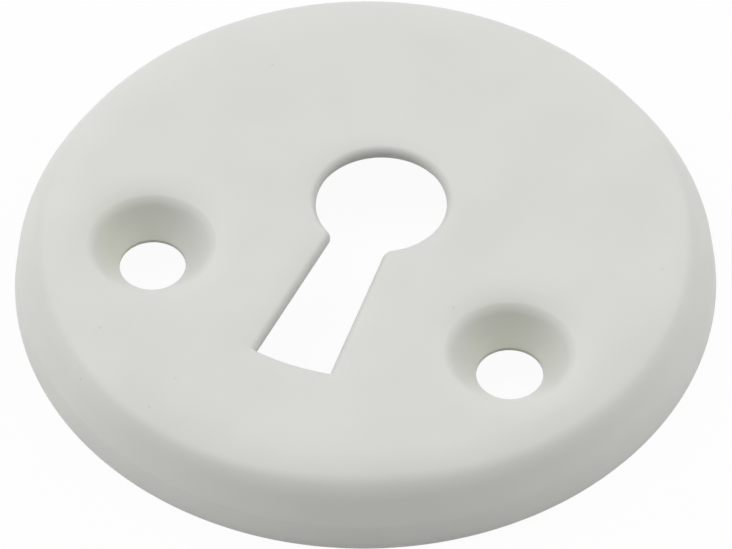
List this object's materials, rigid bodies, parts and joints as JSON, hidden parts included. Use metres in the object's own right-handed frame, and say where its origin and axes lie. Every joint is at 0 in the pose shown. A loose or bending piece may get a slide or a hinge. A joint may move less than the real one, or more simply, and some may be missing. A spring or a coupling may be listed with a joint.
{
  "type": "keyhole escutcheon",
  "caption": "Round keyhole escutcheon pressed from sheet and coated matt white: a shallow cap with a sloped rim, a keyhole with a flared slot and dished holes for countersunk screws.",
  "frame": {"origin": "centre of the back edge, on the axis of the disc", "axes": "+Z out of the face, away from the door; +Y towards the round end of the keyhole, which is up in use; +X to the right for someone who looks at the face"},
  "size_m": [0.05, 0.05, 0.0051],
  "materials": {
    "white_coat": "matt white powder coat over pressed steel sheet, smooth, with soft edges"
  },
  "bodies": {
    "root": {"escutcheon_plate": "white_coat"}
  },
  "joints": []
}
